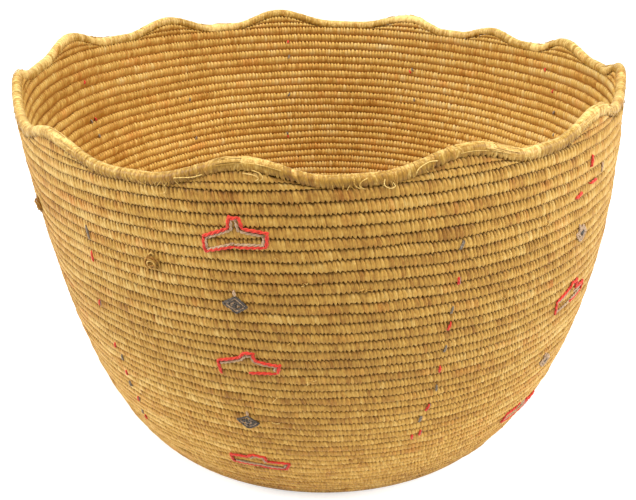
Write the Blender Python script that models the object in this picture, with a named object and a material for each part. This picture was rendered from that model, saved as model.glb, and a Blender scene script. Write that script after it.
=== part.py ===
# Coiled grass basket with a scalloped rim and yarn figures
# One bundle of grass winds out from a knot in the middle of the base, turns up at the heel and climbs the
# wall, each turn sewn to the one before. Two short rows under each scallop lift the rim coil that closes the
# wall, and small yarn figures are sewn over the turns in columns under the scallops.
# All lengths are in metres. The basket stands on the floor at z = 0 with its axis on Z.

import math

import bpy

# Sizes of the bowl, measured to the middle of the coil
rim_radius = 0.1977
base_radius = 0.1463
wall_rise = 0.2325
rim_straightness = 0.0746
base_roundness = 0.065
base_lean = math.radians(38)

# Sizes of the coil. A turn stands out most at these shares of its way down: outside near its foot, where the
# stitches lap over the next turn, and inside near its head
course_at_rim = 0.0067
course_at_base = 0.0048
coil_thickness = 0.0058
groove_thickness = 0.0034
outer_ridge_share = 0.66
inner_ridge_share = 0.33
base_thickness = 0.0052
base_groove_depth = 0.0012
knot_radius = 0.0085
knot_dome = 0.0008
seam_gap = 0.0003

# The rim, whose twelve scallops were spaced by eye, so a scallop is lower where its neighbours are nearer.
# A scallop's foot lies this share of the way to the next
rim_coil_thickness = 0.0061
scallop_height = 0.0092
scallop_foot = 0.40
scallop_angles = [math.radians(a) for a in (-137.5, -100.5, -68, -39, -11, 20, 43.5, 66, 101, 130.5, 161.5, 191.5)]
short_rows = 2

# The bowl was made by hand: its rim tilts and rises and falls in two, three and four waves on the way round, its
# wall follows, and the middle of the bowl stands to one side
rim_tilt = 0.0016
rim_tilt_turn = math.radians(21)
rim_saddle = 0.0042
rim_saddle_turn = math.radians(-28)
rim_ripple = 0.0009
rim_ripple_turn = math.radians(48)
rim_quiver = 0.0013
rim_quiver_turn = math.radians(-4)
side_bulge = 0.0041
side_lean = 0.0035

# Yarn figures stand in six columns, a little to one side of every second scallop, and a column drifts aside by
# the same angle for every turn on its way down. Each figure is centred on a turn counted down from the rim, and a
# whole column can sit some turns lower or higher than the first
column_lead = math.radians(-2)
column_drift = math.radians(-0.06)
column_drops = (0.0, -1.1, -0.5, 0.4, -0.6, 0.0)
hat_rows = (3.6, 16.8, 33.2)
diamond_rows = (10.2, 25.3)
hat_width = 0.036
hat_brim_height = 0.0085
hat_crown_height = 0.0165
hat_crown_width = 0.009
hat_crown_foot_width = 0.0126
hat_brim_slope = 0.002
diamond_width = 0.013
diamond_height = 0.010
yarn_width = 0.0026
yarn_thickness = 0.0010
yarn_gap = 0.0007

# How finely the round shapes are divided
sides = 36
knot_sides = 24
steps_per_half_scallop = 4
turns_per_band = 4
curve_steps = 400

# Colours
straw = (0.42, 0.22, 0.055)
rim_straw = (0.58, 0.36, 0.12)
base_straw = (0.50, 0.29, 0.08)
red_yarn = (0.62, 0.045, 0.025)
grey_yarn = (0.16, 0.14, 0.13)


def clear_scene():
    for item in list(bpy.data.objects):
        bpy.data.objects.remove(item, do_unlink=True)


def make_material(name, colour, roughness):
    material = bpy.data.materials.new(name)
    material.use_nodes = True
    shader = material.node_tree.nodes["Principled BSDF"]
    shader.inputs["Base Color"].default_value = (*colour, 1.0)
    shader.inputs["Roughness"].default_value = roughness
    shader.inputs["Metallic"].default_value = 0.0
    return material


# The wall's curve, from the heel to the top of the last whole turn

heel_height = base_thickness / 2


def wall_curve_point(t):
    """Middle of the wall at t, from 0 at the rim to 1 at the heel: a curve with one handle at each end."""
    top = heel_height + wall_rise
    radii = (rim_radius, rim_radius, base_radius + base_roundness * math.sin(base_lean), base_radius)
    heights = (top, top - rim_straightness, heel_height + base_roundness * math.cos(base_lean), heel_height)
    weights = ((1 - t) ** 3, 3 * t * (1 - t) ** 2, 3 * t * t * (1 - t), t ** 3)
    radius = sum(w * r for w, r in zip(weights, radii))
    height = sum(w * z for w, z in zip(weights, heights))
    return radius, height


def measure_wall():
    """Lengths run along the wall's curve, one for each of its points."""
    points = [wall_curve_point(i / curve_steps) for i in range(curve_steps + 1)]
    runs = [0.0]
    for before, after in zip(points, points[1:]):
        runs.append(runs[-1] + math.dist(before, after))
    return points, runs


wall_points, wall_runs = measure_wall()
wall_length = wall_runs[-1]


def wall_at(run, offset=0.0):
    """Radius and height at a run down the wall, moved out square to the wall by the offset."""
    run = min(max(run, 0.0), wall_length)
    i = 0
    while i < curve_steps - 1 and wall_runs[i + 1] < run:
        i += 1
    share = (run - wall_runs[i]) / (wall_runs[i + 1] - wall_runs[i])
    (r0, z0), (r1, z1) = wall_points[i], wall_points[i + 1]
    step = math.dist((r0, z0), (r1, z1))
    down_r = (r1 - r0) / step
    down_z = (z1 - z0) / step
    radius = r0 + (r1 - r0) * share - down_z * offset
    height = z0 + (z1 - z0) * share + down_r * offset
    return radius, height


def wall_seams():
    """Runs of the seams between turns. The turns get thinner towards the base, and fill the wall exactly."""
    last = wall_length - coil_thickness / 2 - seam_gap
    runs = [0.0]
    while runs[-1] < last:
        share = runs[-1] / wall_length
        ease = share * share * (3 - 2 * share)
        runs.append(runs[-1] + course_at_rim + (course_at_base - course_at_rim) * ease)
    stretch = last / runs[-1]
    return [run * stretch for run in runs]


seams = wall_seams()


def run_of_course(course):
    """Run down the wall of a place counted in turns from the rim."""
    course = min(max(course, 0.0), len(seams) - 1.0)
    whole = min(int(course), len(seams) - 2)
    return seams[whole] + (seams[whole + 1] - seams[whole]) * (course - whole)


def settle(x, y, z):
    """The place of a point of the even bowl on the uneven one."""
    angle = math.atan2(y, x)
    rise = z / (heel_height + wall_rise)
    tilt = rim_tilt * math.cos(angle - rim_tilt_turn)
    saddle = rim_saddle * math.cos(2 * (angle - rim_saddle_turn))
    ripple = rim_ripple * math.cos(3 * (angle - rim_ripple_turn))
    quiver = rim_quiver * math.cos(4 * (angle - rim_quiver_turn))
    aside = side_bulge * math.sin(math.pi * min(rise, 1.0)) - side_lean * rise
    return x + aside, y, z + rise ** 2 * (tilt + saddle + ripple + quiver)


def place(radius, angle, height):
    return settle(radius * math.cos(angle), radius * math.sin(angle), height)


def add_solid(name, points, faces, material, sharp=math.radians(35)):
    mesh = bpy.data.meshes.new(name)
    mesh.from_pydata(points, [], faces)
    mesh.materials.append(material)
    mesh.shade_smooth()
    mesh.set_sharp_from_angle(angle=sharp)
    solid = bpy.data.objects.new(name, mesh)
    bpy.context.collection.objects.link(solid)
    return solid


def sweep_faces(stations, corners, closed):
    """Faces between sections with the same number of corners, with a cap at each end unless closed."""
    faces = []
    for station in range(stations if closed else stations - 1):
        here = station * corners
        following = (station + 1) % stations * corners
        for corner in range(corners):
            beside = (corner + 1) % corners
            faces.append((here + corner, here + beside, following + beside, following + corner))
    if not closed:
        faces.append(tuple(reversed(range(corners))))
        faces.append(tuple(range((stations - 1) * corners, stations * corners)))
    return faces


def add_ring(name, section, material):
    """A ring turned about Z, whose flat sides lie as far inside the round one as its corners lie outside it. The
    section runs down its outer side and up its inner side."""
    swell = 2 / (1 + math.cos(math.pi / sides))
    angles = [2 * math.pi * i / sides for i in range(sides)]
    points = [place(r * swell, angle, z) for angle in angles for r, z in section]
    return add_solid(name, points, sweep_faces(sides, len(section), True), material)


# Base: a knot, then turns lying flat, then the heel turn that carries the wall

def add_start_knot(material):
    ring = [2 * math.pi * i / knot_sides for i in range(knot_sides)]
    rim_top = base_thickness - base_groove_depth
    points = [place(knot_radius, angle, 0.0) for angle in ring]
    points += [place(knot_radius, angle, rim_top) for angle in ring]
    points += [(0.0, 0.0, 0.0), (0.0, 0.0, base_thickness + knot_dome)]
    bottom, top = 2 * knot_sides, 2 * knot_sides + 1
    faces = []
    for i in range(knot_sides):
        j = (i + 1) % knot_sides
        faces.append((i, j, knot_sides + j, knot_sides + i))
        faces.append((bottom, j, i))
        faces.append((top, knot_sides + i, knot_sides + j))
    return add_solid("start_knot", points, faces, material)


def base_section(inner, outer):
    """Flat underside with a ridge on top for each turn between the two radii."""
    turns = max(1, round((outer - inner) / course_at_base))
    width = (outer - inner) / turns
    groove = base_thickness - base_groove_depth
    section = [(outer, groove), (outer, 0.0), (inner, 0.0), (inner, groove)]
    for i in range(turns):
        section.append((inner + (i + 0.5) * width, base_thickness))
        if i < turns - 1:
            section.append((inner + (i + 1) * width, groove))
    return section


def add_base(material):
    inner = knot_radius + seam_gap
    outer = base_radius - coil_thickness / 2 - seam_gap
    middle = (inner + outer) / 2
    add_start_knot(material)
    add_ring("base_turns_inner", base_section(inner, middle - seam_gap / 2), material)
    add_ring("base_turns_outer", base_section(middle + seam_gap / 2, outer), material)


def add_heel_turn(material):
    half = coil_thickness / 2
    corner = half * math.tan(math.pi / 8)
    low = 0.0
    high = base_thickness
    middle = heel_height
    section = [
        (base_radius + corner, high),
        (base_radius + half, middle + corner),
        (base_radius + half, middle - corner),
        (base_radius + corner, low),
        (base_radius - corner, low),
        (base_radius - half, middle - corner),
        (base_radius - half, middle + corner),
        (base_radius - corner, high),
    ]
    add_ring("heel_turn", section, material)


# Wall: bands of a few turns each, with a ridge for every turn inside and out

def band_section(first, last):
    """The section of the turns from the first seam to the last one, with half the seam gap at each end."""
    outer = []
    inner = []
    for i in range(first, last + 1):
        run = seams[i]
        if i == first:
            run += seam_gap / 2
        if i == last:
            run -= seam_gap / 2
        outer.append(wall_at(run, groove_thickness / 2))
        inner.append(wall_at(run, -groove_thickness / 2))
        if i < last:
            outer.append(wall_at(run_of_course(i + outer_ridge_share), coil_thickness / 2))
            inner.append(wall_at(run_of_course(i + inner_ridge_share), -coil_thickness / 2))
    return outer + inner[::-1]


def add_wall(material):
    turns = len(seams) - 1
    bands = math.ceil(turns / turns_per_band)
    for band in range(bands):
        first = round(turns * band / bands)
        last = round(turns * (band + 1) / bands)
        add_ring(f"wall_turns_{band + 1:02d}", band_section(first, last), material)
    print("wall turns", turns, "in", bands, "bands")


# Rim: short rows fill each scallop, and the rim coil rides over them

def wave_height(share, height, next_height):
    """Height of the rim's wave at a share of the way from the top of one scallop to the top of the next."""
    from_top = min(share, 1 - share)
    if from_top >= scallop_foot:
        return 0.0
    top = height if share < 0.5 else next_height
    return top * (1 + math.cos(math.pi * from_top / scallop_foot)) / 2


def rim_stations():
    """Angle and wave height of each section of the rim, in a list from each scallop's top to the next."""
    steps = [scallop_foot * i / steps_per_half_scallop for i in range(steps_per_half_scallop + 1)]
    shares = steps + [0.5] + [1 - step for step in reversed(steps[1:])]
    turn = 2 * math.pi
    even = turn / len(scallop_angles)
    ring = [scallop_angles[-1] - turn] + scallop_angles + [scallop_angles[0] + turn]
    heights = [scallop_height * (after - before) / (2 * even) for before, after in zip(ring, ring[2:])]
    stations = []
    for number, angle in enumerate(scallop_angles):
        step = ring[number + 2] - angle
        ends = heights[number], heights[(number + 1) % len(heights)]
        stations.append([(angle + step * share, wave_height(share, *ends)) for share in shares])
    return stations


def add_scallop_rows(material):
    wall_top = heel_height + wall_rise
    stations = rim_stations()
    for number, after in enumerate(stations):
        before = stations[number - 1]
        under_coil = before[1 - steps_per_half_scallop:] + after[:steps_per_half_scallop]
        points = []
        for angle, lift in under_coil:
            low = wall_top + seam_gap / 2
            high = wall_top + lift - seam_gap / 2
            outer = []
            inner = []
            for level in range(2 * short_rows + 1):
                height = high + (low - high) * level / (2 * short_rows)
                half = (coil_thickness if level % 2 else groove_thickness) / 2
                outer.append(place(rim_radius + half, angle, height))
                inner.append(place(rim_radius - half, angle, height))
            points += outer + inner[::-1]
        faces = sweep_faces(len(under_coil), 2 * (2 * short_rows + 1), False)
        add_solid(f"scallop_rows_{number + 1:02d}", points, faces, material)


def add_rim_coil(material):
    wall_top = heel_height + wall_rise
    half = rim_coil_thickness / 2
    corners = [math.radians(60 - 60 * i) for i in range(6)]
    points = []
    stations = [station for wave in rim_stations() for station in wave]
    for angle, lift in stations:
        middle = wall_top + seam_gap + half * math.sin(corners[0]) + lift
        for corner in corners:
            points.append(place(rim_radius + half * math.cos(corner), angle, middle + half * math.sin(corner)))
    add_solid("rim_coil", points, sweep_faces(len(stations), len(corners), True), material)


# Yarn figures lie over the turns, so they follow the flat sides of the wall bands

def flat_side_share(angle):
    """How far from the axis a flat side of the wall lies at an angle, as a share of the wall's own radius."""
    side = 2 * math.pi / sides
    past = angle % side - side / 2
    return 2 * math.cos(side / 2) / (1 + math.cos(side / 2)) / math.cos(past)


def on_wall(across, up, column, row, lift):
    """A place on the wall: across and up from the figure's middle, and lifted off the wall."""
    run = run_of_course(row) - up
    radius, height = wall_at(run, coil_thickness / 2 + lift)
    angle = column + across / radius
    return place(radius * flat_side_share(angle), angle, height)


def divide(outline, longest):
    """The outline with extra points on its long edges."""
    points = []
    for start, end in zip(outline, outline[1:] + outline[:1]):
        parts = max(1, math.ceil(abs(end[0] - start[0]) / longest))
        for i in range(parts):
            share = i / parts
            across = start[0] + (end[0] - start[0]) * share
            up = start[1] + (end[1] - start[1]) * share
            points.append((across, up))
    return points


def inset(outline, width):
    """The outline moved in by a width, corner by corner."""
    moved = []
    for before, here, after in zip(outline[-1:] + outline[:-1], outline, outline[1:] + outline[:1]):
        into = (here[0] - before[0], here[1] - before[1])
        away = (after[0] - here[0], after[1] - here[1])
        into_length = math.hypot(*into)
        away_length = math.hypot(*away)
        first = (-into[1] / into_length, into[0] / into_length)
        second = (-away[1] / away_length, away[0] / away_length)
        scale = width / (1 + first[0] * second[0] + first[1] * second[1])
        moved.append((here[0] + (first[0] + second[0]) * scale, here[1] + (first[1] + second[1]) * scale))
    return moved


def hat_outline():
    """A hat seen from the front, anticlockwise: a long brim and a narrow crown."""
    half = hat_width / 2
    crown = hat_crown_width / 2
    foot = hat_crown_foot_width / 2
    low = -hat_crown_height / 2
    brim = low + hat_brim_height
    right = [(half, low), (half, brim), (foot, brim + hat_brim_slope), (crown, low + hat_crown_height)]
    return right + [(-across, up) for across, up in reversed(right)]


def add_hat(name, column, row, material):
    outer = divide(hat_outline(), hat_width / 4)
    inner = inset(outer, yarn_width)
    points = []
    for out, within in zip(outer, inner):
        for corner, lift in ((out, 0.0), (within, 0.0), (within, yarn_thickness), (out, yarn_thickness)):
            points.append(on_wall(*corner, column, row, yarn_gap + lift))
    add_solid(name, points, sweep_faces(len(outer), 4, True), material, math.radians(30))


def add_diamond(name, column, row, material):
    half = diamond_width / 2
    tall = diamond_height / 2
    rim = [(half, 0.0), (0.0, tall), (-half, 0.0), (0.0, -tall)]
    points = [on_wall(*corner, column, row, yarn_gap) for corner in rim]
    points += [on_wall(*corner, column, row, yarn_gap + yarn_thickness) for corner in rim]
    faces = [(1, 0, 3), (1, 3, 2), (4, 5, 7), (5, 6, 7)]
    faces += [(i, (i + 1) % 4, 4 + (i + 1) % 4, 4 + i) for i in range(4)]
    add_solid(name, points, faces, material, math.radians(30))


def add_figures(red, grey):
    """Hats and diamonds alternate down each column."""
    for number, (angle, drop) in enumerate(zip(scallop_angles[1::2], column_drops)):
        for down, row in enumerate(hat_rows):
            column = angle + column_lead + column_drift * row
            add_hat(f"hat_{number + 1}_{down + 1}", column, row + drop, red)
        for down, row in enumerate(diamond_rows):
            column = angle + column_lead + column_drift * row
            add_diamond(f"diamond_{number + 1}_{down + 1}", column, row + drop, grey)


def build_basket():
    clear_scene()
    wall_grass = make_material("wall_grass", straw, 0.75)
    rim_grass = make_material("rim_grass", rim_straw, 0.70)
    base_grass = make_material("base_grass", base_straw, 0.75)
    red = make_material("red_yarn", red_yarn, 0.90)
    grey = make_material("grey_yarn", grey_yarn, 0.90)
    add_base(base_grass)
    add_heel_turn(base_grass)
    add_wall(wall_grass)
    add_scallop_rows(wall_grass)
    add_rim_coil(rim_grass)
    add_figures(red, grey)


build_basket()
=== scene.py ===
# %% [markdown]
# # A coiled grass basket, dressed stitch by stitch
# The real basket is one bundle of dry grass, wound round and round and sewn to itself with split blades.
# Nothing in it is woven. So the dressed model is made the same way: rows of stitches are laid on the bowl's
# curve, then a rim coil, then yarn figures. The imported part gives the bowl's size and place. A smooth bowl
# with a picture of stitches on it would be quicker, but it would have a smooth edge against the sky, and the
# stitches would cast no shadows on each other.

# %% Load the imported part
import math
from functools import partial

import bpy
import numpy as np
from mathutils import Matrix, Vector


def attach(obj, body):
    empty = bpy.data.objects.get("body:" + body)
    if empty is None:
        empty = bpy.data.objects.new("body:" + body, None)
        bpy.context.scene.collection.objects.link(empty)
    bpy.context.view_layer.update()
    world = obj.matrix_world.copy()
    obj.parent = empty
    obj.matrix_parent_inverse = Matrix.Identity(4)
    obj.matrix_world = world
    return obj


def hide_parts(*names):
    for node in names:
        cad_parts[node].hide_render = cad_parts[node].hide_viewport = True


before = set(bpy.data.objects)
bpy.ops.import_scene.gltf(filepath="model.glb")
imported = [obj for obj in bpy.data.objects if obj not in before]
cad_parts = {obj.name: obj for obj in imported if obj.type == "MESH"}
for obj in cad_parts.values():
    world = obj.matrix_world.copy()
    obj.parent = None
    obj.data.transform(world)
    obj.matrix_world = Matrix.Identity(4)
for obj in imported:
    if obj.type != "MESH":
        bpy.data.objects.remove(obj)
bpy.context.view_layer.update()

# %% [markdown]
# ## Sizes
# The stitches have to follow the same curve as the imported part, so its sizes are written here again, in
# metres. Runs are lengths down the wall from the top of its last whole turn. A turn of the coil is a course.
# Angles go round the basket, with the camera near -90 degrees.

# %% The bowl's sizes
turn = 2 * math.pi
mm = 0.001
rim_radius = 0.1977
base_radius = 0.1463
wall_rise = 0.2325
rim_straightness = 0.0746
base_roundness = 0.065
base_lean = math.radians(38)
course_at_rim = 0.0067
course_at_base = 0.0048
coil_thickness = 0.0058
coil_radius = coil_thickness / 2
base_thickness = 0.0052
knot_radius = 0.0085
seam_gap = 0.0003
rim_coil_thickness = 0.0061
scallop_height = 0.0092
scallop_foot = 0.40
scallop_angles = np.radians([-137.5, -100.5, -68, -39, -11, 20, 43.5, 66, 101, 130.5, 161.5, 191.5])
rim_tilt, rim_tilt_turn = 0.0016, math.radians(21)
rim_saddle, rim_saddle_turn = 0.0042, math.radians(-28)
rim_ripple, rim_ripple_turn = 0.0009, math.radians(48)
rim_quiver, rim_quiver_turn = 0.0013, math.radians(-4)
side_bulge = 0.0041
side_lean = 0.0035
heel_height = base_thickness / 2
wall_top = heel_height + wall_rise
turns_per_band = 4
stitch_width = 0.00235
inner_stitch_width = 0.0029
mean_radius = 0.19

# %% [markdown]
# ## The wall's curve
# The wall is a smooth curve with one handle at each end, turned round the basket. Measuring it in small
# steps gives a table from run to radius and height, and numpy looks up thousands of stitches at once in it.
# Such a table is needed because even steps along the curve's own share are not even steps down the wall.

# %% Measure the wall's curve
share = np.linspace(0, 1, 1601)
weights = np.array([(1 - share) ** 3, 3 * share * (1 - share) ** 2, 3 * share ** 2 * (1 - share), share ** 3])
handle_radius = base_radius + base_roundness * math.sin(base_lean)
curve_radius = weights.T @ [rim_radius, rim_radius, handle_radius, base_radius]
curve_height = weights.T @ [
    wall_top,
    wall_top - rim_straightness,
    heel_height + base_roundness * math.cos(base_lean),
    heel_height,
]
steps = np.hypot(np.diff(curve_radius), np.diff(curve_height))
curve_run = np.concatenate([[0.0], np.cumsum(steps)])
wall_length = curve_run[-1]
slope_radius = np.gradient(curve_radius, curve_run)
slope_height = np.gradient(curve_height, curve_run)
print("wall length", round(wall_length, 4))


# %% Find a place on the wall
def settle(angle, radius, height):
    """A point of the even bowl moved to its place on the uneven, handmade one."""
    rise = height / wall_top
    tilt = rim_tilt * np.cos(angle - rim_tilt_turn)
    saddle = rim_saddle * np.cos(2 * (angle - rim_saddle_turn))
    ripple = rim_ripple * np.cos(3 * (angle - rim_ripple_turn))
    quiver = rim_quiver * np.cos(4 * (angle - rim_quiver_turn))
    aside = side_bulge * np.sin(math.pi * np.minimum(rise, 1.0)) - side_lean * rise
    x = radius * np.cos(angle) + aside
    y = radius * np.sin(angle)
    return np.stack([x, y, height + rise ** 2 * (tilt + saddle + ripple + quiver)], axis=-1)


def on_wall(run, angle, offset):
    """Places on the wall. The offset goes out square to it. A run under zero goes on straight up."""
    run, angle, offset = np.broadcast_arrays(run, angle, offset)
    radius = np.interp(run, curve_run, curve_radius)
    height = np.interp(run, curve_run, curve_height) - np.minimum(run, 0)
    down_r = np.where(run < 0, 0, np.interp(run, curve_run, slope_radius))
    down_z = np.where(run < 0, -1, np.interp(run, curve_run, slope_height))
    return settle(angle, radius - down_z * offset, height + down_r * offset)


print("wall's height under the scallops in mm", np.round(on_wall(0.0, scallop_angles, 0.0)[:, 2] / mm))

# %% Space the courses
last_seam = wall_length - coil_radius - seam_gap
seams = [0.0]
while seams[-1] < last_seam:
    down = seams[-1] / wall_length
    ease = down * down * (3 - 2 * down)
    seams.append(seams[-1] + course_at_rim + (course_at_base - course_at_rim) * ease)
seams = np.array(seams) * last_seam / seams[-1]
courses = len(seams) - 1
highest, lowest = np.diff(seams)[[0, -1]] / mm
print("courses", courses, "from", round(highest, 2), "to", round(lowest, 2), "mm")


# %% [markdown]
# ## What hands do
# No seam of a handmade coil runs true. A sum of slow cosine waves with seeded random sizes gives each seam
# its own waver, the same on every run, and both rows that meet at a seam follow it. The stitches of a row
# differ in width, and they change tone wherever one blade of grass ends and the next one starts.

# %% Waver of the seams
shared_waver, slow_waver, quick_waver = 0.00025, 0.00015, 0.00015


def waver(seed, slowest, fastest, size, angle):
    """A smooth wave round the basket, made of whole waves from the slowest to the fastest."""
    random = np.random.default_rng(seed)
    counts = np.arange(slowest, fastest + 1)
    sizes = random.normal(size=len(counts))
    sizes *= size / np.sqrt((sizes ** 2).sum() / 2)
    phases = random.uniform(0, turn, len(counts))
    total = np.zeros_like(angle)
    for count, one_size, phase in zip(counts, sizes, phases):
        total += one_size * np.cos(count * angle + phase)
    return total


def seam_run(course, angle):
    """Run of a seam, with the slow waver that all seams share and its own quick one."""
    free = min(course, courses - course, 6) / 6
    shared = waver(5, 3, 9, shared_waver, angle) + waver(60 + course // 5, 5, 16, slow_waver, angle)
    return seams[course] + free * shared + waver(100 + course, 9, 46, quick_waver, angle) * min(course, 1)


# %% Stitches and their tones
narrowest_stitch, widest_stitch = 0.78, 1.22


def lay_stitches(seed, length, cuts, start=0.0, end=turn, width=stitch_width):
    """Stitches of uneven width along a row. The cuts are the places across a stitch where columns go."""
    random = np.random.default_rng([11, seed])
    count = max(2, round(length / width))
    widths = random.uniform(narrowest_stitch, widest_stitch, count)
    widths *= (end - start) / widths.sum()
    begins = start + np.concatenate([[0.0], np.cumsum(widths)[:-1]])
    angle = (begins[:, None] + (cuts + 0.5) * widths[:, None]).ravel()
    stitch = np.repeat(np.arange(count), len(cuts))
    across = np.tile(cuts, count)
    return angle, across, stitch, count


def blade_tones(seed, count):
    """Lightness of each stitch. A blade of grass makes 3 to 14 stitches, and few blades are dark or pale."""
    random = np.random.default_rng([12, seed])
    tones = np.empty(count)
    at = 0
    while at < count:
        length = random.integers(3, 15)
        tone = random.normal(0.5, 0.035)
        chance = random.random()
        if chance < 0.05:
            tone -= 0.11
        elif chance > 0.96:
            tone += 0.08
        tones[at:at + length] = tone
        at += length
    return np.clip(tones + random.normal(0, 0.075, count), 0, 1)


def blade_reds(seed, count):
    """How red each stitch is. Most blades are plain straw, and a few come from a redder part of the stalk."""
    random = np.random.default_rng([14, seed])
    reds = np.zeros(count)
    for begin in random.integers(0, count, count // 25):
        reds[begin:begin + random.integers(1, 8)] += random.uniform(0.0, 0.45)
    return np.clip(reds + random.normal(0, 0.14, count), -1, 1)


print("stitches in the top course", round(turn * rim_radius / stitch_width))

# %% [markdown]
# ## One row of stitches
# A stitch on the outside is a shingle. It comes out of the seam above, narrow and deep between its
# neighbours, spreads downwards and ends in a round tip that stands over the next row. On the inside the tips
# point up instead, and the lower half falls away into a wide groove. Both are one grid of points, and a short
# table says for each line of the grid how far down the course it lies, how far it stands out, how deep the
# gaps between stitches are and how much of the tip's length it takes.
#
# Use has changed the outside. In front, where hands rub, the stitches are flatter and more even in tone, and
# they are painted darker as shade. Round the sides they keep short deep gaps under the seam above, with
# painted shade in them, and smooth lower halves with a painted sheen; on the left the heads get a painted
# highlight. Inside, the left is painted darker as shade. So wear and these painted shades are worked out from
# the angle first, and the grid and its tones are made with them.

# %% Profiles of a stitch
# share of the course, stand-out in mm, relief in mm, bluntness, part of the tip, light, darkness of the gaps;
# the last two are painted shade at the seams, in the gaps and in the inside's lower groove
outer_profile = np.array([
    (-0.030, 0.60, 0.00, 2.0, 0.00, 0.00, 0.00),
    (0.020, 1.20, 0.90, 1.3, 0.00, 0.14, 0.80),
    (0.075, 1.95, 1.50, 1.5, 0.00, 0.64, 0.95),
    (0.165, 2.42, 1.70, 1.8, 0.00, 0.98, 0.94),
    (0.330, 2.70, 1.40, 2.3, 0.00, 1.00, 0.76),
    (0.520, 2.86, 0.75, 2.8, 0.00, 1.00, 0.46),
    (0.740, 2.90, 0.30, 3.2, 0.30, 1.00, 0.22),
    (0.930, 2.82, 0.16, 3.0, 1.00, 0.97, 0.12),
    (0.995, 2.30, 0.10, 2.0, 1.15, 0.46, 0.10),
    (1.005, 0.90, 0.00, 2.0, 1.00, 0.00, 0.00),
])
inner_profile = np.array([
    (-0.03, 1.30, 0.05, 2.0, -1.10, 0.10, 0.00),
    (0.01, 2.30, 0.70, 1.6, -1.20, 0.80, 0.85),
    (0.10, 2.80, 0.80, 1.8, -0.85, 1.00, 0.95),
    (0.30, 2.95, 0.45, 2.2, -0.20, 1.00, 0.60),
    (0.55, 2.50, 0.24, 2.2, 0.00, 0.66, 0.35),
    (0.78, 1.80, 0.18, 2.0, 0.00, 0.24, 0.30),
    (0.97, 1.20, 0.08, 2.0, 0.00, 0.04, 0.20),
])
outer_cuts = np.array([-0.5, -0.40, -0.22, 0.16, 0.38])
inner_cuts = np.array([-0.5, -0.25, 0.0, 0.25])
tip_length = 0.00120
slant = 0.35
print("points to a stitch", len(outer_profile) * len(outer_cuts), "and", len(inner_profile) * len(inner_cuts))


def bump(across, bluntness):
    """From 0 in the gap between two stitches to 1 on the middle of a stitch."""
    return 1 - np.abs(2 * across) ** bluntness


# %% Wear round the basket
front = math.radians(-88)
front_spread = 0.50
# share of the relief that is rubbed off in front, and how much of it comes back towards the sides
front_rub, side_relief = 0.65, 1.05
# in front the blades' tones differ less, all of them are painted darker as shade, and fewer are red
front_calm, front_shade, front_plain = 0.4, 0.20, 0.35
# the inside's left is painted darker as shade: its middle angle, spread and amount
lining_shade_middle, lining_shade_spread, lining_shade = math.radians(158), 0.35, 0.17


def angle_past(angle, place):
    """How far an angle lies past a place, from minus half a turn to half a turn."""
    return (angle - place + math.pi) % turn - math.pi


def wear(angle, side):
    """How rubbed a place is, how far it lies from the front, and how far to the left and to the right."""
    if side < 0:
        none = np.zeros_like(angle)
        return 0.0, none, none, none
    past = angle_past(angle, front)
    away = 1 - np.exp(-past ** 2 / front_spread)
    rubbed = front_rub - side_relief * away
    return rubbed, away, away * np.maximum(-np.sin(past), 0), away * np.maximum(np.sin(past), 0)


def step_up(place, start, length):
    """0 up to a place on the course, then straight up to 1 over a length."""
    return min(1, max(0, (place - start) / length))


# %% A grid of points
def make_grid(points, light, tone, along, down, red=0.0, closed=True, inside=False):
    """Lines of points, one below the other. A finish value is for all of them, for a line or for a point."""
    points = np.array(points)
    grid = {"points": points, "closed": closed, "inside": inside}
    for name, value in (("light", light), ("tone", tone), ("along", along), ("down", down), ("red", red)):
        grid[name] = np.broadcast_to(value, points.shape[:2])
    return grid


# %% Sew one row
full_height = 0.0045
stitch_lift, row_waver, tone_waver, red_waver = 0.00006, 0.00017, 0.045, 0.12


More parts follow.
